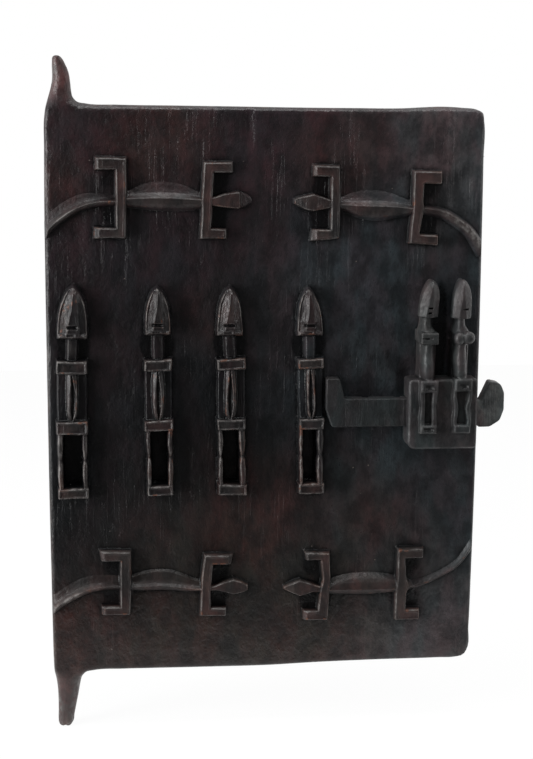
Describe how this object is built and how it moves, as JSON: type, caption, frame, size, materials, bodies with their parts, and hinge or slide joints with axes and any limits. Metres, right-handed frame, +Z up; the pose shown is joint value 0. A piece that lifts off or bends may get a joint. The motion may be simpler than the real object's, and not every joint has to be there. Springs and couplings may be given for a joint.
{
  "type": "carved granary door",
  "caption": "Carved wooden granary shutter on two integral pivots, with relief figures and lizards and a sliding bolt in a figured lock case.",
  "frame": {"origin": "tip of the bottom pivot, on the hinge axis", "axes": "+X along the door towards its lock edge, +Y into the granary so that the carved face looks to -Y, +Z up the hinge axis"},
  "size_m": [0.473, 0.0815, 0.7],
  "materials": {
    "plank_wood": "dark waxed hardwood, hand carved, edges worn to brown",
    "case_wood": "dark greyish hardwood, matt, edges polished by hands",
    "bolt_wood": "dry dark grey hardwood, matt",
    "pin_wood": "bare hardwood, rubbed smooth",
    "wedge_wood": "split hardwood, unfinished"
  },
  "bodies": {
    "door": {"door_plank": "plank_wood", "lock_case": "case_wood", "case_wedge_lower": "wedge_wood", "case_wedge_upper": "wedge_wood"},
    "bolt": {"lock_bolt": "bolt_wood"},
    "pin_left": {"tumbler_pin_left": "pin_wood"},
    "pin_right": {"tumbler_pin_right": "pin_wood"}
  },
  "joints": [
    {"name": "bolt_slide", "type": "slide", "parent": "door", "child": "bolt", "axis": [1, 0, 0], "range_m": [0, 0.062]},
    {"name": "pin_left_lift", "type": "slide", "parent": "door", "child": "pin_left", "axis": [0, 0, 1], "range_m": [0, 0.02]},
    {"name": "pin_right_lift", "type": "slide", "parent": "door", "child": "pin_right", "axis": [0, 0, 1], "range_m": [0, 0.02]}
  ]
}
